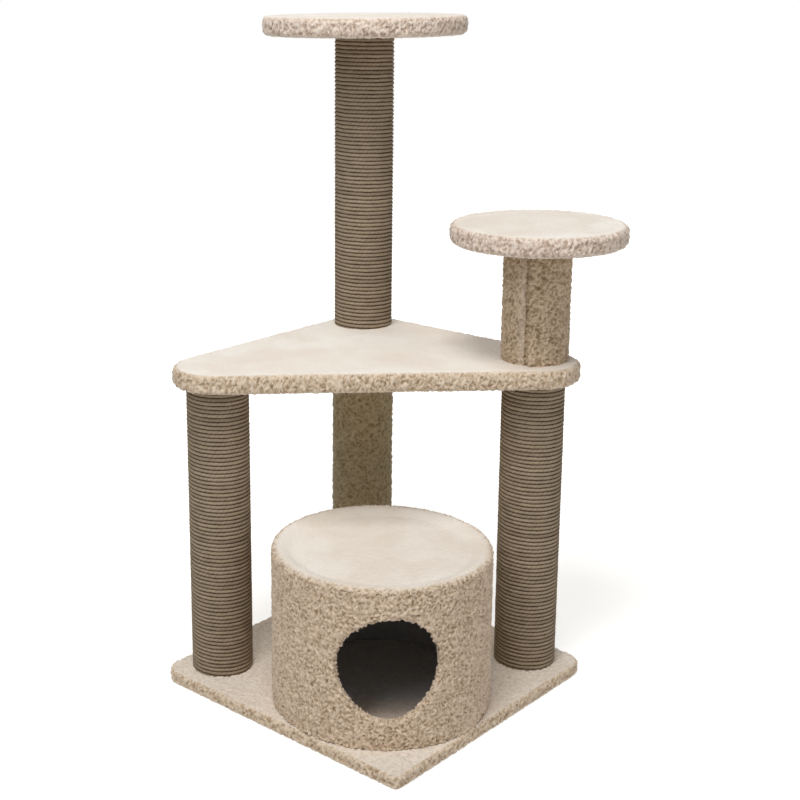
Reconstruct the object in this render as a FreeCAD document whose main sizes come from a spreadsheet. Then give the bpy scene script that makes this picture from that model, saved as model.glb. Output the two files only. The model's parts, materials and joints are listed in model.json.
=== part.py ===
import FreeCAD, Part
import os
import re
from collections import namedtuple

import Sketcher

# A corner cat tree on a square base that is seen corner-on: -Y is the front, where the
# base's front corner and the condo's entry hole are, +X is the side of the small perch
# and +Z is up. The origin is the centre of the base's underside, on the floor.
#
# Particle-board plates wrapped in sherpa fleece are joined by five cardboard tubes. Three
# tubes are wound with sisal rope and two wear fleece. Each tube holds a wooden plug at
# both ends, with a tee nut that a bolt or a double-ended stud screws into.

os.makedirs("parts", exist_ok=True)
doc = FreeCAD.newDocument("cat_tree")

# ---------------------------------------------------------------- driving sizes, in mm
SIZES = [
    ("base_side", 457.0, "side of the square base over its fleece"),
    ("base_board_thick", 12.0, "base board"),
    ("base_corner_round", 33.0, "left, right and rear corners of the base"),
    ("base_front_round", 10.0, "front corner of the base"),
    ("fold_width", 30.0, "fleece folded under a plate, measured from the board's edge"),
    ("base_fold_thick", 1.5, "flattened fleece in the rebate under the base"),
    ("fleece_thick", 6.0, "sherpa fleece with its pile"),
    ("fleece_under_thick", 5.0, "fleece folded under the shelf, the perch and the top"),
    ("plate_roll", 9.0, "rounding of the fleece along the edge of a plate"),
    ("base_roll", 5.0, "rounding of the fleece along the base's top edge"),
    ("board_thick", 18.0, "shelf, perch and top boards"),
    ("post_inset", 58.5, "post axis to the two rear edges it stands beside"),
    ("post_spacing", 326.0, "rear post to left or right post, along a rear edge"),
    ("tube_outer", 80.0, "post tube, outer diameter"),
    ("tube_wall", 4.0, "post tube wall"),
    ("rope_thick", 6.0, "sisal rope"),
    ("sleeve_thick", 8.0, "fleece sleeve round the rear and perch posts"),
    ("fleece_gap", 0.3, "fleece to the post that stands in it"),
    ("lower_tube_long", 456.0, "left, right and rear tubes"),
    ("upper_tube_long", 466.0, "tube from the shelf to the top platform"),
    ("perch_tube_long", 181.0, "tube from the shelf to the perch"),
    ("shelf_reach", 73.0, "shelf's front edge in front of the left and right post axes"),
    ("shelf_side_round", 65.0, "left and right corners of the shelf"),
    ("shelf_rear_round", 58.5, "rear corner of the shelf"),
    ("top_radius", 156.0, "top platform over its fleece"),
    ("perch_radius", 125.0, "perch over its fleece"),
    ("condo_radius", 150.0, "condo tube, outer radius"),
    ("condo_wall", 5.0, "condo tube wall"),
    ("condo_tall", 228.0, "condo tube height"),
    ("condo_edge_gap", 4.0, "condo's fleece to the base's two front edges"),
    ("condo_disc_thick", 12.0, "condo floor disc and lid board"),
    ("condo_disc_gap", 0.2, "condo discs to the tube and lining"),
    ("lining_thick", 2.0, "felt lining of the condo"),
    ("mat_thick", 4.0, "fleece mat on the condo floor"),
    ("dish_depth", 8.0, "lid fleece below the condo's rim"),
    ("hole_wide", 134.0, "entry hole, finished width"),
    ("hole_tall", 150.0, "entry hole, finished height"),
    ("hole_height", 116.0, "entry hole centre above the condo tube's lower end"),
    ("hole_left", 4.0, "entry hole centre to the left of the condo's axis"),
    ("hem_thick", 3.0, "fleece turned into the entry hole"),
    ("plug_thick", 15.0, "wooden plug in a tube end"),
    ("plug_gap", 0.1, "plug to the inside of its tube"),
    ("bolt_radius", 4.0, "M8 bolts and studs"),
    ("thread_gap", 0.05, "stud or bolt in the tee nut's thread, drawn plain"),
    ("bolt_gap", 0.5, "bolt in its clearance hole"),
    ("bolt_head_radius", 7.5, "pan head of the M8 bolts"),
    ("bolt_head_thick", 4.2, "pan head of the M8 bolts"),
    ("bolt_beyond", 2.0, "bolt end past the plug's inner face"),
    ("washer_radius", 12.0, "M8 washer"),
    ("washer_thick", 1.6, "M8 washer"),
    ("recess_radius", 13.0, "counterbore for a washer and head"),
    ("recess_depth", 6.5, "counterbore for a washer and head"),
    ("insert_barrel", 5.25, "tee nut barrel radius"),
    ("insert_long", 10.0, "tee nut barrel length"),
    ("insert_flange", 11.0, "tee nut flange radius"),
    ("insert_flange_thick", 1.5, "tee nut flange"),
    ("nail_radius", 0.9, "nails through a tube wall into a plug or disc"),
    ("nail_long", 13.0, "nails through a tube wall into a plug or disc"),
    ("nail_head", 2.2, "nail head radius"),
    ("nail_head_thick", 0.8, "nail head, let into the cardboard"),
    ("nail_sink", 0.3, "nail head below the cardboard's surface"),
    ("screw_radius", 2.0, "condo screws"),
    ("screw_long", 26.0, "condo screws under the head"),
    ("screw_head", 4.0, "condo screw head radius"),
    ("screw_head_thick", 2.5, "condo screw head"),
    ("screw_sink", 3.5, "counterbore for a condo screw"),
    ("screw_circle", 95.0, "radius of the circle of condo screws"),
    ("staple_wide", 11.0, "staple crown"),
    ("staple_leg", 10.0, "staple leg"),
    ("staple_wire", 1.0, "staple wire, square"),
    ("staple_inset", 15.0, "row of staples to the edge of the board"),
    ("staple_pitch", 52.0, "staple to staple along the row, about"),
]
sizes = doc.addObject("Spreadsheet::Sheet", "sizes")
for row, (alias, value, meaning) in enumerate(SIZES, 1):
    sizes.set(f"A{row}", meaning)
    sizes.set(f"B{row}", str(value))
    sizes.setAlias(f"B{row}", alias)
doc.recompute()

# ------------------------------------------------------------ places that follow from them
HALF_DIAGONAL = "(base_side / sqrt(2))"
REAR_Y = f"({HALF_DIAGONAL} - post_inset * sqrt(2))"
SIDE_X = "(post_spacing / sqrt(2))"
SIDE_Y = f"({REAR_Y} - {SIDE_X})"
TUBE_RADIUS = "(tube_outer / 2)"
BORE_RADIUS = "(tube_outer / 2 - tube_wall)"
ROPE_RADIUS = "(tube_outer / 2 + rope_thick)"
SLEEVE_RADIUS = "(tube_outer / 2 + sleeve_thick)"
SHELF_Z = "(base_board_thick + lower_tube_long)"
SHELF_TOP = f"({SHELF_Z} + board_thick)"
TOP_Z = f"({SHELF_TOP} + upper_tube_long)"
PERCH_Z = f"({SHELF_TOP} + perch_tube_long)"
SHELF_FRONT_Y = f"({SIDE_Y} - shelf_reach)"
CONDO_OUTER = "(condo_radius + fleece_thick)"
CONDO_Y = f"(({CONDO_OUTER} + condo_edge_gap) * sqrt(2) - {HALF_DIAGONAL})"
CONDO_Z = "(base_board_thick + fleece_thick)"
CONDO_RIM = f"({CONDO_Z} + condo_tall)"
CONDO_BORE = "(condo_radius - condo_wall)"
LID_TOP = f"({CONDO_RIM} - dish_depth)"
HOLE_Z = f"({CONDO_Z} + hole_height)"
PLACES = {"left": (f"(-1 * {SIDE_X})", SIDE_Y), "right": (SIDE_X, SIDE_Y), "rear": ("0", REAR_Y)}

FLOOR_Z = "0"
NO_INSET = "0"

PLUG_NAILS = 3
CONDO_NAILS = 10
CONDO_NAIL_START = 18
SAME = 1e-6
NEAR = 1.0
SCREW_ANGLES = (30, 150, 270)

ALIASES = {alias for alias, value, meaning in SIZES}
nodes = []


def bind(thing, **expressions):
    """Tie properties to the sheet. Place_x, Place_y and Place_z mean the Placement."""
    for name, expression in expressions.items():
        path = name.replace("Place_", "Placement.Base.")
        linked = re.sub(
            r"[a-z_]+", lambda word: "sizes." + word[0] if word[0] in ALIASES else word[0], expression
        )
        thing.setExpression(path, linked)
    return thing


def keep(thing, label):
    """Make this object a sub-part of the cat tree: its label names its file."""
    thing.Label = label
    nodes.append(thing)
    return thing


# ------------------------------------------------------------------- shapes used many times
def cylinder(name, radius, bottom, height, place=("0", "0")):
    solid = doc.addObject("Part::Cylinder", name)
    return bind(solid, Radius=radius, Height=height, Place_x=place[0], Place_y=place[1], Place_z=bottom)


def cut(name, base, *tools):
    result = base
    for number, tool in enumerate(tools, 1):
        step = doc.addObject("Part::Cut", name if number == len(tools) else f"{name}_cut_{number}")
        step.Base = result
        step.Tool = tool
        result = step
    return result


def fuse(name, *solids):
    result = doc.addObject("Part::MultiFuse", name)
    result.Shapes = list(solids)
    return result


def group(name, solids):
    result = doc.addObject("Part::Compound", name)
    result.Links = list(solids)
    return result


def ring(name, outer, inner, bottom, height, place=("0", "0")):
    rim = cylinder(name + "_rim", outer, bottom, height, place)
    bore = cylinder(name + "_bore", inner, bottom, height, place)
    return cut(name, rim, bore)


def edges(feature, wanted):
    """Names of the feature's edges that the test picks."""
    return [f"Edge{i}" for i, edge in enumerate(feature.Shape.Edges, 1) if wanted(edge)]


def upright(edge):
    return len(edge.Vertexes) == 2 and abs(edge.tangentAt(edge.FirstParameter).z) > 0.99


def level(edge, height):
    box = edge.BoundBox
    return box.ZLength < SAME and abs(box.ZMin - height) < SAME


def round_edges(body, names, radius):
    feature = body.Tip
    rounding = body.newObject("PartDesign::Fillet", feature.Name + "_round")
    rounding.Base = (feature, names)
    bind(rounding, Radius=radius)
    body.Tip = rounding
    doc.recompute()


def round_top_and_bottom(body, top_radius, bottom_radius=None):
    box = body.Tip.Shape.BoundBox
    round_edges(body, edges(body.Tip, lambda e: level(e, box.ZMax)), top_radius)
    if bottom_radius:
        round_edges(body, edges(body.Tip, lambda e: level(e, box.ZMin)), bottom_radius)


def outline_sketch(body, name, corners):
    """A closed outline of straight sides on the body's own XY plane."""
    sketch = body.newObject("Sketcher::SketchObject", name)
    floor = next(f for f in body.Origin.OriginFeatures if f.Role == "XY_Plane")
    sketch.AttachmentSupport = (floor, [""])
    sketch.MapMode = "FlatFace"
    points = [FreeCAD.Vector(x, y, 0) for x, y in corners]
    for start, end in zip(points, points[1:] + points[:1]):
        sketch.addGeometry(Part.LineSegment(start, end))
    for side in range(len(points)):
        sketch.addConstraint(Sketcher.Constraint("Coincident", side, 2, (side + 1) % len(points), 1))
    return sketch


def dimension(sketch, name, constraint, expression):
    sketch.renameConstraint(sketch.addConstraint(constraint), name)
    bind(sketch, **{f"Constraints.{name}": expression})


def pad(body, sketch, thick):
    feature = body.newObject("PartDesign::Pad", body.Name + "_pad")
    feature.Profile = sketch
    bind(feature, Length=thick)
    doc.recompute()


def square_plate(name, inset, bottom, thick):
    """The base's outline, drawn in by inset all round and turned corner-on."""
    body = doc.addObject("PartDesign::Body", name)
    sketch = outline_sketch(body, name + "_outline", [(-200, -200), (200, -200), (200, 200), (-200, 200)])
    for side in (0, 2):
        sketch.addConstraint(Sketcher.Constraint("Horizontal", side))
        sketch.addConstraint(Sketcher.Constraint("Vertical", side + 1))
    sketch.addConstraint(Sketcher.Constraint("Symmetric", 0, 1, 2, 1, -1, 1))
    dimension(sketch, "width", Sketcher.Constraint("Distance", 0, 400), f"base_side - 2 * {inset}")
    dimension(sketch, "depth", Sketcher.Constraint("Distance", 1, 400), f"base_side - 2 * {inset}")
    pad(body, sketch, thick)
    corner = body.Tip.Shape.BoundBox.XLength - NEAR
    for at_front, radius in ((False, "base_corner_round"), (True, "base_front_round")):
        names = edges(body.Tip, lambda e: upright(e)
                      and (e.CenterOfMass.x + e.CenterOfMass.y < -corner) == at_front
                      and abs(e.CenterOfMass.x) + abs(e.CenterOfMass.y) > corner)
        round_edges(body, names, f"max({radius} - {inset}; 1)")
    body.Placement.Rotation = FreeCAD.Rotation(FreeCAD.Vector(0, 0, 1), 45)
    return bind(body, Place_z=bottom)


def corner_plate(name, inset, bottom, thick):
    """The shelf's outline, drawn in by inset: a right angle at the rear, a long front edge."""
    body = doc.addObject("PartDesign::Body", name)
    sketch = outline_sketch(body, name + "_outline", [(-380, -60), (380, -60), (0, 320)])
    sketch.addConstraint(Sketcher.Constraint("PointOnObject", 2, 1, -2))
    sketch.addConstraint(Sketcher.Constraint("Symmetric", 0, 1, 1, 1, -2))
    sketch.addConstraint(Sketcher.Constraint("Perpendicular", 1, 2))
    dimension(sketch, "apex", Sketcher.Constraint("DistanceY", -1, 1, 2, 1, 320),
              f"{HALF_DIAGONAL} - {inset} * sqrt(2)")
    dimension(sketch, "depth", Sketcher.Constraint("DistanceY", 0, 1, 2, 1, 380),
              f"{HALF_DIAGONAL} - {inset} * sqrt(2) - {SHELF_FRONT_Y} - {inset}")
    pad(body, sketch, thick)
    rear, side = (reach - NEAR for reach in (body.Tip.Shape.BoundBox.YMax, body.Tip.Shape.BoundBox.XMax))
    for at_rear, radius in ((False, "shelf_side_round"), (True, "shelf_rear_round")):
        names = edges(body.Tip, lambda e: upright(e) and (e.CenterOfMass.y > rear) == at_rear
                      and (at_rear or abs(e.CenterOfMass.x) > side))
        round_edges(body, names, f"{radius} - {inset}")
    return bind(body, Place_z=bottom)


def round_plate(name, radius, inset, bottom, thick, place):
    body = doc.addObject("PartDesign::Body", name)
    feature = body.newObject("PartDesign::AdditiveCylinder", name + "_disc")
    bind(feature, Radius=f"{radius} - {inset}", Height=thick)
    doc.recompute()
    return bind(body, Place_x=place[0], Place_y=place[1], Place_z=bottom)


# ------------------------------------------------------------------------------------ base
base_blank = square_plate("base_blank", "fleece_thick", FLOOR_Z, "base_board_thick")
rebate_rim = square_plate("rebate_rim", "fleece_thick", FLOOR_Z, "base_fold_thick")
rebate_core = square_plate("rebate_core", "(fleece_thick + fold_width)", FLOOR_Z, "base_fold_thick")
rebate = cut("base_rebate", rebate_rim, rebate_core)
base_wood = cut("base_wood", base_blank, rebate)

# Each lower post is bolted from under the base: a counterbore takes washer and head, so
# that the board lies flat on the floor.
base_holes = []
for side, place in PLACES.items():
    base_holes.append(fuse(
        f"base_hole_{side}",
        cylinder(f"base_recess_{side}", "recess_radius", FLOOR_Z, "recess_depth", place),
        cylinder(f"base_clearance_{side}", "bolt_radius + bolt_gap", FLOOR_Z, "base_board_thick", place),
    ))

# Three wood screws hold the condo's floor disc, on a circle about the condo's axis.
condo_screws = []
for number, angle in enumerate(SCREW_ANGLES, 1):
    place = (f"screw_circle * cos({angle} deg)", f"{CONDO_Y} + screw_circle * sin({angle} deg)")
    condo_screws.append(fuse(
        f"condo_screw_{number}",
        cylinder(f"condo_screw_head_{number}", "screw_head", "screw_sink - screw_head_thick",
                 "screw_head_thick", place),
        cylinder(f"condo_screw_shank_{number}", "screw_radius", "screw_sink", "screw_long", place),
    ))
    base_holes.append(cylinder(f"condo_screw_recess_{number}", "screw_head + bolt_gap", FLOOR_Z,
                               "screw_sink", place))
screw_set = group("condo_screw_set", condo_screws)
base_board = cut("base_board_cut", base_wood, *base_holes, screw_set)


# ------------------------------------------------------------------------------- fasteners
staple = fuse("staple", *(doc.addObject("Part::Box", f"staple_{part}")
                          for part in ("crown", "left", "right")))
for part, across, long, tall in (
    ("crown", "-0.5 * staple_wide", "staple_wide", "staple_wire"),
    ("left", "-0.5 * staple_wide", "staple_wire", "staple_leg"),
    ("right", "0.5 * staple_wide - staple_wire", "staple_wire", "staple_leg"),
):
    bind(doc.getObject(f"staple_{part}"), Length=long, Width="staple_wire", Height=tall,
         Place_x=across, Place_y="-0.5 * staple_wire")
doc.recompute()


def driven(name, shape, placements):
    """Copies of one small fastener's shape, each a separate solid, as one object."""
    copies = []
    for placement in placements:
        copy = shape.copy()
        copy.Placement = placement.multiply(copy.Placement)
        copies.append(copy)
    feature = doc.addObject("Part::Feature", name)
    feature.Shape = Part.makeCompound(copies)
    return feature


def staple_row(name, board, fold, posts=()):
    """Staples under a board: a row inside its lower edge, pressed up through the fold."""
    doc.recompute()
    under = min(board.Shape.Faces, key=lambda face: face.CenterOfMass.z)
    inset = sizes.staple_inset
    row = min((under.OuterWire.makeOffset2D(side) for side in (-inset, inset)), key=lambda w: w.Length)
    count = round(row.Length / sizes.staple_pitch)
    points = row.discretize(Number=count + 1)[:-1]
    placements = []
    for before, here, after in zip(points[-1:] + points[:-1], points, points[1:] + points[:1]):
        reach = sizes.tube_outer / 2 + sizes.sleeve_thick + sizes.staple_wide
        if any((here.x - post.x) ** 2 + (here.y - post.y) ** 2 < reach ** 2 for post in posts):
            continue
        along = FreeCAD.Rotation(FreeCAD.Vector(1, 0, 0), after - before)
        point = FreeCAD.Vector(here.x, here.y, under.CenterOfMass.z - fold)
        placements.append(FreeCAD.Placement(point, along))
    return driven(name, staple.Shape, placements)


# ----------------------------------------------------------------------------------- posts
Post = namedtuple("Post", "place foot long outer kind")
POSTS = {
    "left_post": Post(PLACES["left"], "base_board_thick", "lower_tube_long", ROPE_RADIUS, "rope"),
    "right_post": Post(PLACES["right"], "base_board_thick", "lower_tube_long", ROPE_RADIUS, "rope"),
    "rear_post": Post(PLACES["rear"], "base_board_thick", "lower_tube_long", SLEEVE_RADIUS, "fleece"),
    "upper_post": Post(PLACES["rear"], SHELF_TOP, "upper_tube_long", ROPE_RADIUS, "rope"),
    "perch_post": Post(PLACES["right"], SHELF_TOP, "perch_tube_long", SLEEVE_RADIUS, "fleece"),
}

nail = fuse("nail", *(doc.addObject("Part::Cylinder", f"nail_{part}") for part in ("shank", "top")))
bind(doc.nail_shank, Radius="nail_radius", Height="nail_long")
bind(doc.nail_top, Radius="nail_head", Height="nail_head_thick")
doc.recompute()


def nail_ring(radius, height, centre, count, start=0):
    """Placements of nails driven inwards, level, all round a tube."""
    placements = []
    for number in range(count):
        turn = FreeCAD.Rotation(FreeCAD.Vector(0, 0, 1), start + 360 * number / count)
        point = centre + turn.multVec(FreeCAD.Vector(radius, 0, height))
        inward = FreeCAD.Rotation(FreeCAD.Vector(0, 0, 1), turn.multVec(FreeCAD.Vector(-1, 0, 0)))
        placements.append(FreeCAD.Placement(point, inward))
    return placements


nail_placements = []
for name, post in POSTS.items():
    blank = ring(f"{name}_tube_blank", TUBE_RADIUS, BORE_RADIUS, post.foot, post.long, post.place)
    doc.recompute()
    box = blank.Shape.BoundBox
    centre = FreeCAD.Vector(box.Center.x, box.Center.y, 0)
    for height in (box.ZMin + sizes.plug_thick / 2, box.ZMax - sizes.plug_thick / 2):
        nail_placements += nail_ring(sizes.tube_outer / 2 - sizes.nail_sink, height, centre, PLUG_NAILS)
plug_nails = driven("plug_nail_set", nail.Shape, nail_placements)

# Rope is wound over three of the tubes from board to board; fleece is sewn round two.
# A wide staple holds each end of a rope at the back of its post.
end_staples = []
for name, post in POSTS.items():
    if post.kind == "rope":
        box = doc.getObject(f"{name}_tube_blank").Shape.BoundBox
        for height in (box.ZMin + sizes.staple_inset, box.ZMax - sizes.staple_inset):
            point = FreeCAD.Vector(box.Center.x, box.YMax + sizes.rope_thick, height)
            turn = FreeCAD.Rotation(FreeCAD.Vector(0, 0, 1), FreeCAD.Vector(0, -1, 0))
            end_staples.append(FreeCAD.Placement(point, turn))
rope_staples = driven("rope_staple_set", staple.Shape, end_staples)

insert_set = []
for name, post in POSTS.items():
    tube_blank = doc.getObject(f"{name}_tube_blank")
    keep(cut(f"{name}_tube_cut", tube_blank, plug_nails, rope_staples), f"{name}_tube")
    # end: the lower faces of the plug, of the tee nut's flange and of its barrel
    head_plug_z = f"{post.foot} + {post.long} - plug_thick"
    ends = {
        "foot": (post.foot, f"{post.foot} + plug_thick", f"{post.foot} + plug_thick - insert_long"),
        "head": (head_plug_z, f"{head_plug_z} - insert_flange_thick", head_plug_z),
    }
    for end, (plug_z, flange_z, barrel_z) in ends.items():
        place = post.place
        tip = f"{name}_{end}"
        insert_blank = fuse(
            f"{tip}_insert_blank",
            cylinder(f"{tip}_flange", "insert_flange", flange_z, "insert_flange_thick", place),
            cylinder(f"{tip}_barrel", "insert_barrel", barrel_z, "insert_long", place),
        )
        bore = cylinder(f"{tip}_thread", "bolt_radius + thread_gap", f"{plug_z} - plug_thick",
                        "3 * plug_thick", place)
        insert_set.append(cut(f"{tip}_insert", insert_blank, bore))
        plug_radius = f"{BORE_RADIUS} - plug_gap"
        plug_blank = cylinder(f"{tip}_plug_blank", plug_radius, plug_z, "plug_thick", place)
        clearance = cylinder(f"{tip}_plug_hole", "bolt_radius + bolt_gap", plug_z, "plug_thick", place)
        keep(cut(f"{tip}_plug_cut", plug_blank, clearance, insert_blank, plug_nails), f"{tip}_plug")
keep(plug_nails, "plug_nails")
keep(group("insert_group", insert_set), "tee_nuts")

for name, post in POSTS.items():
    sleeve = ring(f"{name}_sleeve", post.outer, TUBE_RADIUS, post.foot, post.long, post.place)
    if post.kind == "rope":
        keep(cut(f"{name}_rope_cut", sleeve, rope_staples), f"{name}_rope")
    else:
        keep(sleeve, f"{name}_cover")
keep(rope_staples, "rope_end_staples")


# ---------------------------------------------------------------- shelf, perch and top plate
def bolt(name, head_z, length, place, upward):
    """A pan-head M8 bolt and its washer; upward when the head, from head_z on, is the lower end."""
    if upward:
        head, washer, shank = head_z, f"{head_z} + bolt_head_thick", f"{head_z} + bolt_head_thick"
    else:
        head, washer = f"{head_z} - bolt_head_thick", f"{head_z} - bolt_head_thick - washer_thick"
        shank = f"{head_z} - bolt_head_thick - ({length})"
    made = fuse(
        name,
        cylinder(name + "_head", "bolt_head_radius", head, "bolt_head_thick", place),
        cylinder(name + "_shank", "bolt_radius", shank, length, place),
    )
    under_head = ring(name + "_washer", "washer_radius", "bolt_radius + thread_gap", washer,
                      "washer_thick", place)
    return made, under_head


base_bolts = []
base_washers = []
for side, place in PLACES.items():
    made, washer = bolt(f"base_bolt_{side}", "recess_depth - washer_thick - bolt_head_thick",
                        "base_board_thick - recess_depth + washer_thick + plug_thick + bolt_beyond", place,
                        upward=True)
    base_bolts.append(made)
    base_washers.append(washer)

# The shelf, the perch and the top rest on the plugs of their posts. A bolt with its head
# sunk in the board holds each one where no post stands above; a stud does it elsewhere.
PLATE_BOLTS = {
    "shelf": (PLACES["left"], SHELF_Z),
    "perch": (PLACES["right"], PERCH_Z),
    "top": (PLACES["rear"], TOP_Z),
}
plate_bolts = []
plate_washers = []
plate_holes = {}
for plate, (place, bottom) in PLATE_BOLTS.items():
    made, washer = bolt(
        f"{plate}_bolt", f"{bottom} + board_thick - recess_depth + washer_thick + bolt_head_thick",
        "board_thick - recess_depth + washer_thick + plug_thick + bolt_beyond", place, upward=False,
    )
    plate_bolts.append(made)
    plate_washers.append(washer)
    plate_holes[plate] = fuse(
        f"{plate}_bolt_hole",
        cylinder(f"{plate}_recess", "recess_radius", f"{bottom} + board_thick - recess_depth",
                 "recess_depth", place),
        cylinder(f"{plate}_clearance", "bolt_radius + bolt_gap", bottom, "board_thick", place),
    )

studs = []
stud_holes = []
for side in ("rear", "right"):
    studs.append(cylinder(f"shelf_stud_{side}", "bolt_radius", f"{SHELF_Z} - plug_thick - bolt_beyond",
                          "board_thick + 2 * plug_thick + 2 * bolt_beyond", PLACES[side]))
    stud_holes.append(cylinder(f"shelf_stud_hole_{side}", "bolt_radius + bolt_gap", SHELF_Z,
                               "board_thick", PLACES[side]))

keep(group("base_bolt_group", base_bolts), "base_bolts")
keep(group("base_washer_group", base_washers), "base_bolt_washers")
keep(group("plate_bolt_group", plate_bolts), "plate_bolts")
keep(group("plate_washer_group", plate_washers), "plate_bolt_washers")
keep(group("stud_group", studs), "shelf_studs")


def plate(name, board_z, make, holes, posts, posts_above):
    """A board, its fleece with the fold underneath, and the staples of the fold.

    make(name, inset, bottom, thick) builds the plate's outline drawn in by inset.
    """
    under_z = f"{board_z} - fleece_under_thick"
    blank = make(f"{name}_blank", "fleece_thick", board_z, "board_thick")
    core = make(f"{name}_core", "(fleece_thick + fold_width)", under_z, "fleece_under_thick")
    skin = make(f"{name}_skin", NO_INSET, under_z, "board_thick + fleece_thick + fleece_under_thick")
    round_top_and_bottom(skin, "plate_roll", "plate_roll")
    doc.recompute()
    centres = [doc.getObject(f"{post}_tube_blank").Shape.BoundBox.Center for post in posts]
    staples = staple_row(f"{name}_staple_set", blank, sizes.fleece_under_thick, centres)
    gaps = []
    for post in posts:
        if post in posts_above:
            gap_z, thick = f"{board_z} + board_thick", "fleece_thick"
        else:
            gap_z, thick = under_z, "fleece_under_thick"
        gaps.append(cylinder(f"{name}_{post}_gap", f"{POSTS[post].outer} + fleece_gap", gap_z, thick,
                             POSTS[post].place))
    keep(cut(f"{name}_board_cut", blank, *holes, staples), f"{name}_board")
    keep(cut(f"{name}_cover_cut", skin, blank, core, *gaps, staples), f"{name}_cover")
    keep(staples, f"{name}_cover_staples")


def disc(radius, place):
    return lambda name, inset, bottom, thick: round_plate(name, radius, inset, bottom, thick, place)


plate("shelf", SHELF_Z, corner_plate, [plate_holes["shelf"], *stud_holes], list(POSTS),
      ("upper_post", "perch_post"))
plate("perch", PERCH_Z, disc("perch_radius", PLACES["right"]), [plate_holes["perch"]], ["perch_post"], ())
plate("top", TOP_Z, disc("top_radius", PLACES["rear"]), [plate_holes["top"]], ["upper_post"], ())

# The base's fleece lies over the board and its edges and is folded into the rebate under
# it; each lower post stands through it on the board.
base_staples = staple_row("base_staple_set", base_blank, 0)
base_skin = square_plate("base_skin", NO_INSET, FLOOR_Z, "base_board_thick + fleece_thick")
round_top_and_bottom(base_skin, "base_roll")
base_gaps = [
    cylinder(f"base_{post}_gap", f"{POSTS[post].outer} + fleece_gap", "base_board_thick", "fleece_thick",
             POSTS[post].place)
    for post in ("left_post", "right_post", "rear_post")
]
keep(cut("base_board_stapled", base_board, base_staples), "base_board")
keep(cut("base_cover_cut", base_skin, base_wood, *base_gaps, screw_set, base_staples), "base_cover")
keep(base_staples, "base_cover_staples")


# ----------------------------------------------------------------------------------- condo
CONDO = ("0", CONDO_Y)


def through_hole(name, grow):
    """A bar with the entry hole's oval section, from the condo's axis out to the front."""
    oval = doc.addObject("Part::Ellipse", name + "_oval")
    bind(oval, MajorRadius=f"hole_tall / 2 + {grow}", MinorRadius=f"hole_wide / 2 + {grow}",
         Place_x="-1 * hole_left", Place_y=CONDO_Y, Place_z=HOLE_Z)
    up, right, back = FreeCAD.Vector(0, 0, 1), FreeCAD.Vector(1, 0, 0), FreeCAD.Vector(0, 1, 0)
    oval.Placement.Rotation = FreeCAD.Rotation(up, right, back, "XYZ")
    bar = doc.addObject("Part::Extrusion", name)
    bar.Base = oval
    bar.DirMode = "Custom"
    bar.Dir = FreeCAD.Vector(0, -1, 0)
    bar.Solid = True
    return bind(bar, LengthFwd=f"2 * {CONDO_OUTER}")


rough_hole = through_hole("rough_hole", "hem_thick")
fine_hole = through_hole("fine_hole", "0")

tube_blank = ring("condo_tube_blank", "condo_radius", CONDO_BORE, CONDO_Z, "condo_tall", CONDO)
doc.recompute()
box = tube_blank.Shape.BoundBox
centre = FreeCAD.Vector(box.Center.x, box.Center.y, 0)
nail_start = sizes.condo_radius - sizes.nail_sink
lid_middle = sizes.dish_depth + sizes.condo_disc_thick / 2
condo_nails = driven("condo_nail_set", nail.Shape, [
    *nail_ring(nail_start, box.ZMin + sizes.condo_disc_thick / 2, centre, CONDO_NAILS, CONDO_NAIL_START),
    *nail_ring(nail_start, box.ZMax - lid_middle, centre, CONDO_NAILS, CONDO_NAIL_START),
])
keep(cut("condo_tube_cut", tube_blank, rough_hole, condo_nails), "condo_tube")

floor_blank = cylinder("condo_floor_blank", f"{CONDO_BORE} - condo_disc_gap", CONDO_Z,
                       "condo_disc_thick", CONDO)
keep(cut("condo_floor_cut", floor_blank, screw_set, condo_nails), "condo_floor_disc")
lid_blank = cylinder("condo_lid_blank", f"{CONDO_BORE} - condo_disc_gap", f"{LID_TOP} - condo_disc_thick",
                     "condo_disc_thick", CONDO)
keep(cut("condo_lid_cut", lid_blank, condo_nails), "condo_lid_board")
keep(condo_nails, "condo_nails")
keep(screw_set, "condo_screws")

# Felt lines the wall from the floor disc to the lid board, and a fleece mat lies inside.
MAT_Z = f"({CONDO_Z} + condo_disc_thick)"
lining_tall = f"{LID_TOP} - condo_disc_thick - {MAT_Z}"
lining = ring("condo_lining_ring", CONDO_BORE, f"{CONDO_BORE} - lining_thick", MAT_Z, lining_tall, CONDO)
keep(cut("condo_lining_cut", lining, rough_hole), "condo_lining")
mat_radius = f"{CONDO_BORE} - lining_thick - condo_disc_gap"
keep(cylinder("condo_mat", mat_radius, MAT_Z, "mat_thick", CONDO), "condo_floor_mat")

# The wall's fleece stands on the base, ends at the tube's upper edge and is turned into
# the entry hole as a hem that covers the cut cardboard.
wall_cover = ring("condo_wall_ring", CONDO_OUTER, "condo_radius", f"{CONDO_Z} + fleece_gap",
                  "condo_tall - fleece_gap", CONDO)
hem_zone = ring("condo_hem_zone", CONDO_OUTER, f"{CONDO_BORE} - lining_thick", CONDO_Z, "condo_tall", CONDO)
hem = doc.addObject("Part::Common", "condo_hem")
hem.Base = hem_zone
hem.Tool = rough_hole
keep(cut("condo_wall_cut", fuse("condo_wall_hemmed", wall_cover, hem), fine_hole), "condo_wall_cover")

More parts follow.
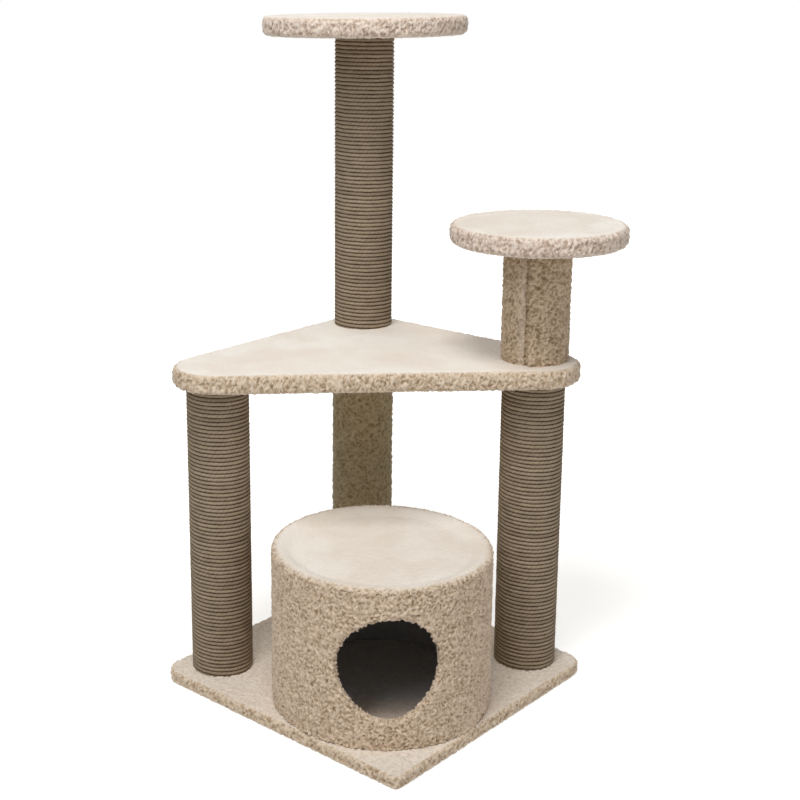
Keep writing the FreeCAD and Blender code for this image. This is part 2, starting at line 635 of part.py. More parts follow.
# The lid's fleece is drawn over the tube's rim and down on the lid board, as a shallow dish.
lid_cover = doc.addObject("PartDesign::Body", "condo_lid_fleece")
rim = lid_cover.newObject("PartDesign::AdditiveCylinder", "lid_rim")
bind(rim, Radius=CONDO_OUTER, Height="fleece_thick", Place_z="dish_depth")
inner = lid_cover.newObject("PartDesign::AdditiveCylinder", "lid_inner")
bind(inner, Radius=f"{CONDO_BORE} - condo_disc_gap", Height="dish_depth")
dish = lid_cover.newObject("PartDesign::SubtractiveCylinder", "lid_dish")
bind(dish, Radius=f"{CONDO_BORE} - fleece_thick", Height="dish_depth + fleece_thick", Place_z="fleece_thick")
doc.recompute()
round_top_and_bottom(lid_cover, "base_roll")
bind(lid_cover, Place_y=CONDO_Y, Place_z=LID_TOP)
keep(lid_cover, "condo_lid_cover")

# ---------------------------------------------------------------------------------- export
doc.recompute()
for thing in doc.Objects:
    if "Invalid" in thing.State or "Error" in thing.State:
        raise RuntimeError(f"{thing.Name} failed: {thing.State}")
labels = [thing.Label for thing in nodes]
if len(set(labels)) != len(labels):
    raise RuntimeError("two sub-parts share a label")
for thing in nodes:
    shape = thing.Shape
    if shape.isNull() or not shape.isValid() or not shape.Solids:
        raise RuntimeError(f"{thing.Label} is not a sound solid")
    shape.exportStep(os.path.join("parts", thing.Label + ".step"))
print(len(nodes), "sub-parts")
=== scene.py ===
import json
import math

import bmesh
import bpy
import numpy as np
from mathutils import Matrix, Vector
from mathutils.geometry import delaunay_2d_cdt


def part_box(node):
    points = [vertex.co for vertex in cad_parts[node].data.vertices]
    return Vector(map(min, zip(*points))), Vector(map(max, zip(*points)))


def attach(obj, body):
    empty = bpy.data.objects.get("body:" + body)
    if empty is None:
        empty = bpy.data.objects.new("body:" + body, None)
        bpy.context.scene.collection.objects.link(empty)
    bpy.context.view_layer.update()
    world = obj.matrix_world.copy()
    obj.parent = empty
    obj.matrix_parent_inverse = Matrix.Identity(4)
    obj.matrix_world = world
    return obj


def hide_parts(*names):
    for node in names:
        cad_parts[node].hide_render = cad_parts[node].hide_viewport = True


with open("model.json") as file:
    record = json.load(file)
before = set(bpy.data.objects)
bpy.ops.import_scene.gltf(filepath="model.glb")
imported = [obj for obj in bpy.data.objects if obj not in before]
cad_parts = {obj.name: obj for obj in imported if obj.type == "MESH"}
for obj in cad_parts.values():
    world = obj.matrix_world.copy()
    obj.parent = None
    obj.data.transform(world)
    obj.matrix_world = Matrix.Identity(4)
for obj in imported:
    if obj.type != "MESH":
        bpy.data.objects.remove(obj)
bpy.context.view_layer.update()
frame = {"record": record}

# ---------------------------------------------------------------- studio, lights and camera
# A pale seamless floor under four soft lights, as in a small product studio: one high on
# the left in front, one overhead, a weaker one on the right and one behind. The floor
# glows to the camera alone, more with distance, so it meets the white backdrop unseen.
WHITE_PAPER = "#F4F3F1"
PAPER_ROUGHNESS = 0.9
STUDIO_SPAN = 12.0
PAPER_GLOW = (0.58, 0.98)
GLOW_REACH = (0.5, 2.2)
AIR_LIGHT = 0.27


def paint(colour):
    """An sRGB hex colour as linear red, green, blue and alpha."""
    parts = [int(colour[i:i + 2], 16) / 255 for i in (1, 3, 5)]
    return tuple(p / 12.92 if p <= 0.04045 else ((p + 0.055) / 1.055) ** 2.4 for p in parts) + (1.0,)


def add(tree, kind, inputs=None, output=0, **settings):
    """Add a node with its settings, and give one of its outputs.

    inputs are values, or sockets to link from; output is the output's number or name.
    """
    made = tree.nodes.new(kind)
    for name, value in settings.items():
        setattr(made, name, value)
    for key, value in (inputs or {}).items():
        if isinstance(value, bpy.types.NodeSocket):
            tree.links.new(value, made.inputs[key])
        else:
            made.inputs[key].default_value = value
    return made.outputs[output] if made.outputs else made


def new_material(name):
    """An empty material's tree and its finished surface node, ready for the links."""
    material = bpy.data.materials.new(name)
    material.use_nodes = True
    tree = material.node_tree
    surface = next(n for n in tree.nodes if n.type == "BSDF_PRINCIPLED")
    return material, tree, surface


floor_mesh = bpy.data.meshes.new("studio_floor")
reach = STUDIO_SPAN / 2
floor_corners = [(-reach, -reach, 0), (reach, -reach, 0), (reach, reach, 0), (-reach, reach, 0)]
floor_mesh.from_pydata(floor_corners, [], [(0, 1, 2, 3)])
studio_floor = bpy.data.objects.new("studio_floor", floor_mesh)
bpy.context.scene.collection.objects.link(studio_floor)
paper, tree, surface = new_material("white_paper")
surface.inputs["Base Color"].default_value = paint(WHITE_PAPER)
surface.inputs["Roughness"].default_value = PAPER_ROUGHNESS
surface.inputs["Emission Color"].default_value = paint(WHITE_PAPER)
paper_seen = add(tree, "ShaderNodeLightPath", output="Is Camera Ray")
paper_place = add(tree, "ShaderNodeTexCoord", output="Object")
away = add(tree, "ShaderNodeVectorMath", {0: paper_place}, operation="LENGTH", output="Value")
far_glow = add(tree, "ShaderNodeMapRange", {"Value": away, 1: GLOW_REACH[0], 2: GLOW_REACH[1],
                                            3: PAPER_GLOW[0], 4: PAPER_GLOW[1]}, output="Result")
glow = add(tree, "ShaderNodeMath", {0: paper_seen, 1: far_glow}, operation="MULTIPLY")
tree.links.new(glow, surface.inputs["Emission Strength"])
floor_mesh.materials.append(paper)

# The backdrop looks white to the camera, while the air itself gives only a weak even light.
world = bpy.data.worlds.new("studio_air")
bpy.context.scene.world = world
world.use_nodes = True
air = world.node_tree
seen = add(air, "ShaderNodeLightPath", output="Is Camera Ray")
level = add(air, "ShaderNodeMapRange", {"Value": seen, 3: AIR_LIGHT, 4: 1.0}, output="Result")
air.nodes["Background"].inputs["Color"].default_value = (1.0, 1.0, 1.0, 1.0)
air.links.new(level, air.nodes["Background"].inputs["Strength"])

# Each light's place, side in metres and power in watts; all point at the object's middle.
LIT_MIDDLE = Vector((0, 0, 0.45))
SOFT_BOXES = {
    "key_light": ((-1.7, -1.9, 2.7), 1.3, 27.0),
    "top_light": ((-0.3, -1.1, 3.2), 1.0, 46.0),
    "fill_light": ((2.2, -1.9, 1.3), 1.6, 11.0),
    "back_light": ((-0.6, 2.2, 2.3), 1.6, 10.0),
}
for name, (place, side, power) in SOFT_BOXES.items():
    lamp = bpy.data.lights.new(name, "AREA")
    lamp.size = side
    lamp.energy = power
    holder = bpy.data.objects.new(name, lamp)
    holder.location = place
    holder.rotation_euler = (LIT_MIDDLE - Vector(place)).to_track_quat("-Z", "Y").to_euler()
    bpy.context.scene.collection.objects.link(holder)

# The camera stands about two metres in front, a little left, and looks slightly down.
FILM_WIDTH, LENS_LENGTH = 36.0, 63.36
SHIFT_RIGHT, SHIFT_UP = 0.149, -0.101
EYE_PLACE = (-0.183, -1.957, 1.031)
LOOK_DOWN, LOOK_RIGHT, LEAN = math.radians(13.59), math.radians(1.32), math.radians(-0.51)
eye = bpy.data.cameras.new("camera")
eye.sensor_width, eye.lens = FILM_WIDTH, LENS_LENGTH
eye.shift_x, eye.shift_y = SHIFT_RIGHT, SHIFT_UP
camera = bpy.data.objects.new("camera", eye)
camera.rotation_mode = "XYZ"
camera.location = EYE_PLACE
level_share = math.cos(LOOK_DOWN)
forward = Vector((math.sin(LOOK_RIGHT) * level_share, math.cos(LOOK_RIGHT) * level_share,
                  -math.sin(LOOK_DOWN)))
level_turn = forward.to_track_quat("-Z", "Y")
camera.rotation_euler = level_turn.to_euler()
camera.rotation_euler.rotate_axis("Z", LEAN)
bpy.context.scene.collection.objects.link(camera)
bpy.context.scene.camera = camera
bpy.context.scene.view_settings.view_transform = "Standard"

# ------------------------------------------------------- boards, tubes, plugs and fasteners
# The skeleton that the fleece and rope hide: raw particle board, spiral-wound kraft tubes,
# turned wooden plugs and zinc-plated bolts and staples. It shows from below and behind.
PARTICLE_BOARD = {"pale": "#D3B88E", "dark": "#8F6B43", "chip": 0.0035, "dust_per_metre": 900.0}
KRAFT_CARD = {"pale": "#B08C62", "dark": "#8A6A47", "winding": 0.055, "wave": 0.155,
              "fibres_per_metre": 420.0}
BEECH_PLUG = {"pale": "#D9BC8F", "dark": "#B08D5E", "grain": 0.0015}
ZINC_PLATE = {"pale": "#C9CDD0", "dark": "#8E9497", "grain": 0.0012}


def colour_ramp(tree, factor, stops):
    """A ramp from (place, hex colour) stops, driven by the factor socket."""
    ramp = add(tree, "ShaderNodeValToRGB", {"Fac": factor})
    elements = ramp.node.color_ramp.elements
    while len(elements) < len(stops):
        elements.new(0.5)
    for element, (place, colour) in zip(elements, stops):
        element.position = place
        element.color = paint(colour)
    return ramp


def dents(tree, surface, height, strength, depth):
    """Relief of this depth in metres on the surface."""
    relief = add(tree, "ShaderNodeBump", {"Height": height, "Strength": strength, "Distance": depth})
    tree.links.new(relief, surface.inputs["Normal"])


def grained(tree, surface, tone, stops, roughness, grain, strength, depth):
    """Colour from a ramp over tone, an even roughness, and relief that follows the grain."""
    tree.links.new(colour_ramp(tree, tone, stops), surface.inputs["Base Color"])
    surface.inputs["Roughness"].default_value = roughness
    dents(tree, surface, grain, strength, depth)


def particle_board():
    """Pressed wood chips: pale and brown flakes of a few millimetres, dull and slightly rough."""
    material, tree, surface = new_material("raw_particle_board")
    where = add(tree, "ShaderNodeTexCoord", output="Object")
    chips = add(tree, "ShaderNodeTexVoronoi", {
        "Vector": where, "Scale": 1 / PARTICLE_BOARD["chip"]}, output="Color")
    dust = add(tree, "ShaderNodeTexNoise", {
        "Vector": where, "Scale": PARTICLE_BOARD["dust_per_metre"], "Detail": 4.0}, output="Fac")
    tone = add(tree, "ShaderNodeMix", {0: 0.45, 2: chips, 3: dust})
    stops = [(0.25, PARTICLE_BOARD["dark"]), (0.62, PARTICLE_BOARD["pale"])]
    grained(tree, surface, tone, stops, 0.82, dust, 0.3, 0.0004)
    return material


def kraft_card():
    """Spiral-wound kraft paper: brown, matte, with the faint slanting edge of each winding."""
    material, tree, surface = new_material("kraft_cardboard")
    where = add(tree, "ShaderNodeTexCoord", output="Object")
    slant = add(tree, "ShaderNodeTexWave", {
        "Vector": where, "Scale": KRAFT_CARD["wave"] / KRAFT_CARD["winding"], "Distortion": 0.6},
                bands_direction="DIAGONAL", output="Fac")
    fibre = add(tree, "ShaderNodeTexNoise", {
        "Vector": where, "Scale": KRAFT_CARD["fibres_per_metre"], "Detail": 5.0}, output="Fac")
    tone = add(tree, "ShaderNodeMath", {0: slant, 1: fibre}, operation="MULTIPLY")
    stops = [(0.05, KRAFT_CARD["dark"]), (0.45, KRAFT_CARD["pale"])]
    grained(tree, surface, tone, stops, 0.88, fibre, 0.2, 0.0003)
    return material


def beech_plug():
    """Turned beech: straight fine grain, a touch of sheen from the lathe."""
    material, tree, surface = new_material("turned_beech")
    where = add(tree, "ShaderNodeTexCoord", output="Object")
    drawn = add(tree, "ShaderNodeMapping", {
        "Vector": where, "Scale": (1.0, 0.08, 1.0)}, output="Vector")
    grain = add(tree, "ShaderNodeTexNoise", {
        "Vector": drawn, "Scale": 1 / BEECH_PLUG["grain"], "Detail": 4.0}, output="Fac")
    stops = [(0.35, BEECH_PLUG["dark"]), (0.62, BEECH_PLUG["pale"])]
    grained(tree, surface, grain, stops, 0.6, grain, 0.15, 0.0002)
    return material


def zinc_plate():
    """Zinc-plated steel: a grey metal with a faint crystalline mottle and soft highlights."""
    material, tree, surface = new_material("zinc_plated_steel")
    where = add(tree, "ShaderNodeTexCoord", output="Object")
    mottle = add(tree, "ShaderNodeTexNoise", {
        "Vector": where, "Scale": 1 / ZINC_PLATE["grain"], "Detail": 3.0}, output="Fac")
    surface.inputs["Metallic"].default_value = 1.0
    stops = [(0.3, ZINC_PLATE["dark"]), (0.7, ZINC_PLATE["pale"])]
    grained(tree, surface, mottle, stops, 0.38, mottle, 0.1, 0.0001)
    return material


SKELETON = {
    "particle_board": particle_board(),
    "cardboard": kraft_card(),
    "plug_wood": beech_plug(),
    "zinc_plated_steel": zinc_plate(),
}
for part in frame["record"]["subparts"]:
    finish = SKELETON.get(part["material_slot"])
    shown = bpy.data.objects.get(part["node"])
    if finish and shown:
        for place in shown.material_slots:
            place.material = finish

# ------------------------------------------------------------------------ sherpa fleece
# Sherpa is a knitted polyester whose pile is combed and tumbled into short curls. Cut
# pieces are stretched over each board or tube and stapled. Curls stand proud along edges
# and walls; on the flat tops they are brushed down, so the tops look smoother, and paler
# partly as painted light from above. Low in the curls the colour is painted shade. The
# cloth's tint differs a little from piece to piece; the two posts' fleece sleeves are also
# darker, as painted shade.
# The darker curl colours are painted shade low in the pile; the flat tops' pale colours are partly
# painted light.
SHERPA = {"shaded_gap": "#745F49", "root": "#A58D70", "curl": "#C9B297", "tip": "#E2D0BA",
          "brushed_and_lit": "#F2EBE1", "worn": "#EADFD2"}
PINK_SHERPA = dict(SHERPA, shaded_gap="#7D6958", root="#AA9380", curl="#CDB8A6", tip="#EADBCD")
WALL_SHERPA = dict(SHERPA, shaded_gap="#745E4A", root="#A1896F", curl="#C6AF94", tip="#E0CBB4")
# The two posts' colours are darker: painted shade under the perch and under the shelf.
SHADED_POST_SHERPA = dict(SHERPA, shaded_gap="#685440", root="#8F785D", curl="#B29B7E", tip="#D0BAA0")
SHADED_SHERPA = {"shaded_gap": "#76674C", "root": "#93825F", "curl": "#AF9E7B", "tip": "#C2B291",
                 "brushed_and_lit": "#CCBFA0", "worn": "#C2B492"}
SKIN_STEP = 0.0017
PILE_HEIGHT = 0.0036
TOP_LOFT = 0.22
# Width of a curl in metres, and on the condo's wall, where the cloth is finer.
CURL_WIDTH = 0.0032
FINE_CURL = 0.0028
# The pattern inside the pile, counted in curl widths.
WANDER_SCALE, WANDER_REACH = 0.55, 1.9
LOCK_SCALE, LOCK_RIDGE, LOCK_SHARE = 0.50, 0.17, 0.58
CELL_SCALE, CELL_SOFTNESS, CELL_DOME, CELL_SHARE = 0.78, 0.35, (0.12, 0.78), 0.42
# Fibre fuzz and patches of wear per metre; where the curl colours stand from low to high,
# the low ones painted shade deep in the pile.
FUZZ_PER_METRE, FUZZ_SHARE, WEAR_PER_METRE = 560.0, 0.75, 11.0
CURL_STOPS = {"shaded_gap": 0.27, "root": 0.40, "curl": 0.70, "tip": 1.0}


def sherpa_fleece(name, colours, painted_shade=None):
    """Curly pile: painted shade in the narrow gaps between pale curls; where it is brushed flat,
    plain and paler, partly painted light from above.

    The last argument is the (y where it starts, y where it is full) of painted shade
    greying a mat towards its back.
    """
    material, tree, surface = new_material(name)
    where = add(tree, "ShaderNodeTexCoord", output="Object")
    pile = add(tree, "ShaderNodeAttribute", attribute_name="pile", output="Fac")
    loft = add(tree, "ShaderNodeAttribute", attribute_name="loft", output="Fac")
    fuzz = add(tree, "ShaderNodeTexNoise", {
        "Vector": where, "Scale": FUZZ_PER_METRE, "Detail": 3.0, "Roughness": 0.6}, output="Fac")
    worn = add(tree, "ShaderNodeTexNoise", {
        "Vector": where, "Scale": WEAR_PER_METRE, "Detail": 4.0, "Distortion": 0.6}, output="Fac")
    height = add(tree, "ShaderNodeMath", {0: fuzz, 1: FUZZ_SHARE, 2: pile},
                 operation="MULTIPLY_ADD")
    # The curls darken from tip to gap: painted shade deep in the pile.
    curls = colour_ramp(tree, height, [(stop, colours[tone]) for tone, stop in CURL_STOPS.items()])
    # Where the pile lies flat it is plain and paler: flatter pile, and painted light from above.
    flat = colour_ramp(tree, worn, [(0.36, colours["worn"]), (0.62, colours["brushed_and_lit"])])
    raised = add(tree, "ShaderNodeMapRange", {"Value": loft, 1: TOP_LOFT + 0.1, 2: 0.85},
                 interpolation_type="SMOOTHSTEP", output="Result")
    colour = add(tree, "ShaderNodeMix", {0: raised, 6: flat, 7: curls}, data_type="RGBA", output=2)
    # A mat greys towards its back: painted shade, where little light comes in through the entry.
    if painted_shade:
        depth = add(tree, "ShaderNodeSeparateXYZ", {0: where}, output="Y")
        back_shade = add(tree, "ShaderNodeMapRange", {"Value": depth, 1: painted_shade[0], 2: painted_shade[1]},
                        interpolation_type="SMOOTHSTEP", output="Result")
        colour = add(tree, "ShaderNodeMix", {0: back_shade, 6: colour, 7: paint(colours["painted_shade"])},
                     data_type="RGBA", output=2)
    tree.links.new(colour, surface.inputs["Base Color"])
    surface.inputs["Roughness"].default_value = 0.95
    surface.inputs["Specular IOR Level"].default_value = 0.12
    surface.inputs["Sheen Weight"].default_value = 0.15
    surface.inputs["Sheen Roughness"].default_value = 0.6
    dents(tree, surface, fuzz, 0.5, 0.0007)
    return material


def ended(tree, shape, finish, output):
    """Close a tree: one real mesh, smooth, in its finish."""
    whole = add(tree, "GeometryNodeRealizeInstances", {"Geometry": shape})
    smooth = add(tree, "GeometryNodeSetShadeSmooth", {"Geometry": whole})
    finished = add(tree, "GeometryNodeSetMaterial", {"Geometry": smooth, "Material": finish})
    add(tree, "NodeGroupOutput", {output: finished})


def sherpa_pile(name):
    """Geometry Nodes that raise curls on a skin, as far as its "loft" attribute says."""
    tree = bpy.data.node_groups.new(name, "GeometryNodeTree")
    tree.interface.new_socket("Skin", in_out="INPUT", socket_type="NodeSocketGeometry")
    for label, kind, start in (("Curl width", "NodeSocketFloat", CURL_WIDTH),
                               ("Pile height", "NodeSocketFloat", PILE_HEIGHT),
                               ("Seed", "NodeSocketFloat", 1.0)):
        socket = tree.interface.new_socket(label, in_out="INPUT", socket_type=kind)
        socket.default_value = start
    tree.interface.new_socket("Finish", in_out="INPUT", socket_type="NodeSocketMaterial")
    tree.interface.new_socket("Fleece", in_out="OUTPUT", socket_type="NodeSocketGeometry")
    given = add(tree, "NodeGroupInput").node.outputs
    loft = add(tree, "GeometryNodeInputNamedAttribute", {"Name": "loft"}, data_type="FLOAT")
    place = add(tree, "GeometryNodeInputPosition")
    normal = add(tree, "GeometryNodeInputNormal")
    per_curl = add(tree, "ShaderNodeMath", {0: 1.0, 1: given["Curl width"]}, operation="DIVIDE")
    offset = add(tree, "ShaderNodeCombineXYZ", {"X": given["Seed"], "Y": given["Seed"]})
    scaled = add(tree, "ShaderNodeVectorMath", {0: place, "Scale": per_curl}, operation="SCALE")
    shifted = add(tree, "ShaderNodeVectorMath", {0: scaled, 1: offset}, operation="ADD")
    # Each curl wanders, so the lattice under it never shows.
    wander = add(tree, "ShaderNodeTexNoise", {
        "Vector": shifted, "Scale": WANDER_SCALE, "Detail": 1.0}, output="Color")
    wandered = add(tree, "ShaderNodeVectorMath", {0: wander, 1: (WANDER_REACH,) * 3, 2: shifted},
                   operation="MULTIPLY_ADD")
    # Ridges of a soft noise are the worm-like locks; round cells break them into curls.
    lock = add(tree, "ShaderNodeTexNoise", {
        "Vector": wandered, "Scale": LOCK_SCALE, "Detail": 0.0}, output="Fac")
    centred = add(tree, "ShaderNodeMath", {0: lock, 1: 0.5}, operation="SUBTRACT")
    away = add(tree, "ShaderNodeMath", {0: centred}, operation="ABSOLUTE")
    ridge = add(tree, "ShaderNodeMapRange", {"Value": away, 1: 0.0, 2: LOCK_RIDGE, 3: 1.0, 4: 0.0},
                interpolation_type="SMOOTHSTEP", output="Result")
    cell = add(tree, "ShaderNodeTexVoronoi", {
        "Vector": wandered, "Scale": CELL_SCALE, "Smoothness": CELL_SOFTNESS},
               feature="SMOOTH_F1", output="Distance")
    dome = add(tree, "ShaderNodeMapRange", {
        "Value": cell, 1: CELL_DOME[0], 2: CELL_DOME[1], 3: 1.0, 4: 0.0},
               interpolation_type="SMOOTHSTEP", output="Result")
    domes = add(tree, "ShaderNodeMath", {0: dome, 1: CELL_SHARE}, operation="MULTIPLY")
    height = add(tree, "ShaderNodeMath", {0: ridge, 1: LOCK_SHARE, 2: domes},
                 operation="MULTIPLY_ADD")
    # Mid height stays on the skin, and the curls lean a little to one side.
    raised = add(tree, "ShaderNodeMath", {0: height, 1: 0.5}, operation="SUBTRACT")
    lofted = add(tree, "ShaderNodeMath", {0: raised, 1: loft}, operation="MULTIPLY")
    length = add(tree, "ShaderNodeMath", {0: lofted, 1: given["Pile height"]}, operation="MULTIPLY")
    out = add(tree, "ShaderNodeVectorMath", {0: normal, "Scale": length}, operation="SCALE")
    lean = add(tree, "ShaderNodeVectorMath", {0: wander, 1: (0.5, 0.5, 0.5)}, operation="SUBTRACT")
    sideways = add(tree, "ShaderNodeMath", {0: given["Pile height"], 1: loft}, operation="MULTIPLY")
    swept = add(tree, "ShaderNodeVectorMath", {0: lean, "Scale": sideways}, operation="SCALE")
    move = add(tree, "ShaderNodeVectorMath", {0: out, 1: swept}, operation="ADD")
    raised_skin = add(tree, "GeometryNodeSetPosition", {"Geometry": given["Skin"], "Offset": move})
    stored = add(tree, "GeometryNodeStoreNamedAttribute", {
        "Geometry": raised_skin, "Name": "pile", "Value": height},
                 data_type="FLOAT", domain="POINT")
    ended(tree, stored, given["Finish"], "Fleece")
    return tree


def grown(piece, tree, **inputs):
    """The piece with this tree applied: a plain mesh in its place, no modifier left."""
    modifier = piece.modifiers.new("made", "NODES")
    modifier.node_group = tree
    for socket in tree.interface.items_tree:
        wanted = socket.name.lower().replace(" ", "_")
        if wanted in inputs:
            modifier[socket.identifier] = inputs[wanted]
    seen = bpy.context.evaluated_depsgraph_get()
    made = bpy.data.meshes.new_from_object(piece.evaluated_get(seen))
    piece.modifiers.remove(modifier)
    piece.data = made
    return piece


def new_piece(name, points, faces, loft=None):
    """A mesh piece at the origin from points in metres; loft is each point's share of pile."""
    mesh = bpy.data.meshes.new(name)
    mesh.from_pydata([tuple(p) for p in points], [], faces)
    if loft is not None:
        shares = mesh.attributes.new("loft", "FLOAT", "POINT").data
        shares.foreach_set("value", np.asarray(loft, np.float32))
    shell = bmesh.new()
    shell.from_mesh(mesh)
    bmesh.ops.remove_doubles(shell, verts=shell.verts, dist=1e-5)
    bmesh.ops.recalc_face_normals(shell, faces=shell.faces)
    shell.to_mesh(mesh)
    shell.free()
    mesh.polygons.foreach_set("use_smooth", [True] * len(mesh.polygons))
    piece = bpy.data.objects.new(name, mesh)
    bpy.context.scene.collection.objects.link(piece)
    return piece


def lattice(low, high, step):
    """Points of an even triangular lattice between two corners of a rectangle."""
    rows = np.arange(low[1], high[1], step * 0.866)
    columns = np.arange(low[0], high[0], step)
    x, y = np.meshgrid(columns, rows)
    x[1::2] += step / 2
    return np.column_stack([x.ravel(), y.ravel()])


def inside(points, outline):
    """Which points lie within a closed outline."""
    result = np.zeros(len(points), bool)
    for (ax, ay), (bx, by) in zip(outline, np.roll(outline, -1, axis=0)):
        if ay == by:
            continue
        crossed = (points[:, 1] > ay) != (points[:, 1] > by)
        result ^= crossed & (points[:, 0] < ax + (points[:, 1] - ay) * (bx - ax) / (by - ay))
    return result


def filled(outline, inner, holes=()):
    """Triangles inside an outline and outside its holes, through all the inner points."""
    loops = [np.asarray(outline), *[np.asarray(hole) for hole in holes]]
    sides = []
    start = 0
    for loop in loops:
        count = len(loop)
        sides += [(start + i, start + (i + 1) % count) for i in range(count)]
        start += count
    made = delaunay_2d_cdt([Vector(p) for p in np.vstack([*loops, inner])], sides, [], 1, 1e-7)
    points = np.array([tuple(p) for p in made[0]])
    faces = np.array([tuple(face) for face in made[2]])
    middles = points[faces].mean(1)
    for hole in loops[1:]:
        faces = faces[~inside(middles, hole)]
        middles = points[faces].mean(1)
    return points, [tuple(map(int, face)) for face in faces]


class Shell:
    """Points, faces and loft of one skin, put together ring by ring."""

    def __init__(self):
        self.points, self.faces, self.loft = [], [], []
        self.count = 0

    def place(self, points, loft):
        first = self.count
        self.points.append(np.asarray(points))
        self.loft.append(np.zeros(len(points)) + loft)
        self.count += len(points)
        return first

    def rings(self, rings, lofts):
        """Closed rings of equally many points, each joined to the next by quads."""
        size = len(rings[0])
        first = [self.place(ring, loft) for ring, loft in zip(rings, lofts)]
        for low, high in zip(first, first[1:]):
            self.faces += [(low + i, low + (i + 1) % size, high + (i + 1) % size, high + i)
                           for i in range(size)]

    def patch(self, points, faces, loft):
        first = self.place(points, loft)
        self.faces += [tuple(first + i for i in face) for face in faces]

    def cap(self, outline, z, loft, inner=np.empty((0, 2))):
        """A level face inside an outline, through all the inner points."""
        flat, faces = filled(outline, inner)
        self.patch(at_height(flat, z), faces, loft)

    def piece(self, name):
        return new_piece(name, np.vstack(self.points), self.faces, np.concatenate(self.loft))


def at_height(flat, z):
    return np.column_stack([flat, np.full(len(flat), z)])


def rounded(corners, inset, step):
    """A rounded polygon drawn in by inset; the same corners always give as many points."""
    corner_points = [np.array(c[:2]) for c in corners]
    count = len(corners)
    lines = []
    for here, after in zip(corner_points, corner_points[1:] + corner_points[:1]):
        along = (after - here) / np.linalg.norm(after - here)
        lines.append((here + inset * np.array([-along[1], along[0]]), along))
    arcs = []
    for i in range(count):
        (start, before), (end, after) = lines[i - 1], lines[i]
        reach = np.linalg.solve(np.column_stack([before, -after]), end - start)[0]
        corner = start + reach * before
        radius = max(corners[i][2] - inset, 0.0005)
        turn = math.acos(float(np.clip(before @ after, -1, 1)))
        tangent = radius * math.tan(turn / 2)
        centre = corner - before * tangent + radius * np.array([-before[1], before[0]])
        first = math.atan2(*(corner - before * tangent - centre)[::-1])
        steps = max(3, round(corners[i][2] * turn / step))
        angles = first + turn * np.arange(steps + 1) / steps
        arcs.append(centre + radius * np.column_stack([np.cos(angles), np.sin(angles)]))
    points = []
    for i in range(count):
        here, after = arcs[i], arcs[(i + 1) % count]
        full = np.linalg.norm(corner_points[(i + 1) % count] - corner_points[i])
        between = max(2, round(full / step))
        share = (np.arange(between - 1) + 1)[:, None] / between
        points += [here, here[-1] + (after[0] - here[-1]) * share]
    return np.vstack(points)


def circle(centre, radius, step):
    """The same for a round plate: centre, radius and spacing give a function of the inset."""
    count = round(2 * math.pi * radius / step)
    angles = 2 * math.pi * np.arange(count) / count
    wheel = np.column_stack([np.cos(angles), np.sin(angles)])
    return lambda inset: np.array(centre) + (radius - inset) * wheel


def plate_skin(name, outline, low, high, roll, board_edge, fold, under, covered=(),
               top_loft=TOP_LOFT):
    """The fleece of one plate: over the top, round the edge and folded under the board.

    outline(inset) gives the plan, low and high the skin's lowest and highest z, roll the
    rounding, board_edge the fleece beside the board, fold the turned-under width and
    under the fleece below the board. covered lists (x, y, radius) where a post stands.
    """
    shell = Shell()
    rings, lofts = [], []
    on_floor = low < 0.001
    quarter = math.pi / 2
    for inset in np.linspace(board_edge + fold, roll, 12):
        rings.append(at_height(outline(inset), low))
        lofts.append(0.0 if on_floor else 0.35)
    lower = min(roll, 0.003) if on_floor else roll
    for turn in np.linspace(0, quarter, max(3, round(lower * 1.6 / SKIN_STEP)))[1:]:
        rings.append(at_height(outline(lower * (1 - math.sin(turn))),
                               low + lower * (1 - math.cos(turn))))
        lofts.append(turn / quarter * 0.8 if on_floor else 0.5 + 0.5 * turn / quarter)
    levels = max(2, round((high - low - lower - roll) / SKIN_STEP))
    for z in np.linspace(low + lower, high - roll, levels)[1:]:
        rings.append(at_height(outline(0.0), z))
        lofts.append(1.0)
    for turn in np.linspace(0, quarter, round(roll * 1.6 / SKIN_STEP))[1:]:
        rings.append(at_height(outline(roll * (1 - math.cos(turn))),
                               high - roll * (1 - math.sin(turn))))
        lofts.append(1.0 - (1.0 - top_loft) * (turn / quarter) ** 2)
    shell.rings(rings, lofts)
    edge = rings[-1][:, :2]
    inner = lattice(edge.min(0), edge.max(0), SKIN_STEP)
    keep = inside(inner, outline(roll + SKIN_STEP * 0.7))
    for x, y, radius in covered:
        keep &= np.hypot(inner[:, 0] - x, inner[:, 1] - y) > radius
    shell.cap(edge, high, top_loft, inner[keep])
    # Against the board the skin is smooth: up from the fold, out to the board's edge, up.
    hem, back = outline(board_edge + fold), outline(board_edge)
    top = high - board_edge
    shell.rings([at_height(hem, low), at_height(hem, low + under), at_height(back, low + under),
                 at_height(back, top)], [0.0] * 4)
    shell.cap(back, top, 0.0)
    return shell.piece(name)


def place_piece(piece, node):
    """Give a finished piece its body and hide the CAD node it stands for."""
    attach(piece, "root")
    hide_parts(node)
    return piece


sherpa = sherpa_fleece("sherpa_fleece", SHERPA)
pink_sherpa = sherpa_fleece("pink_sherpa_fleece", PINK_SHERPA)
pile_tree = sherpa_pile("sherpa pile")

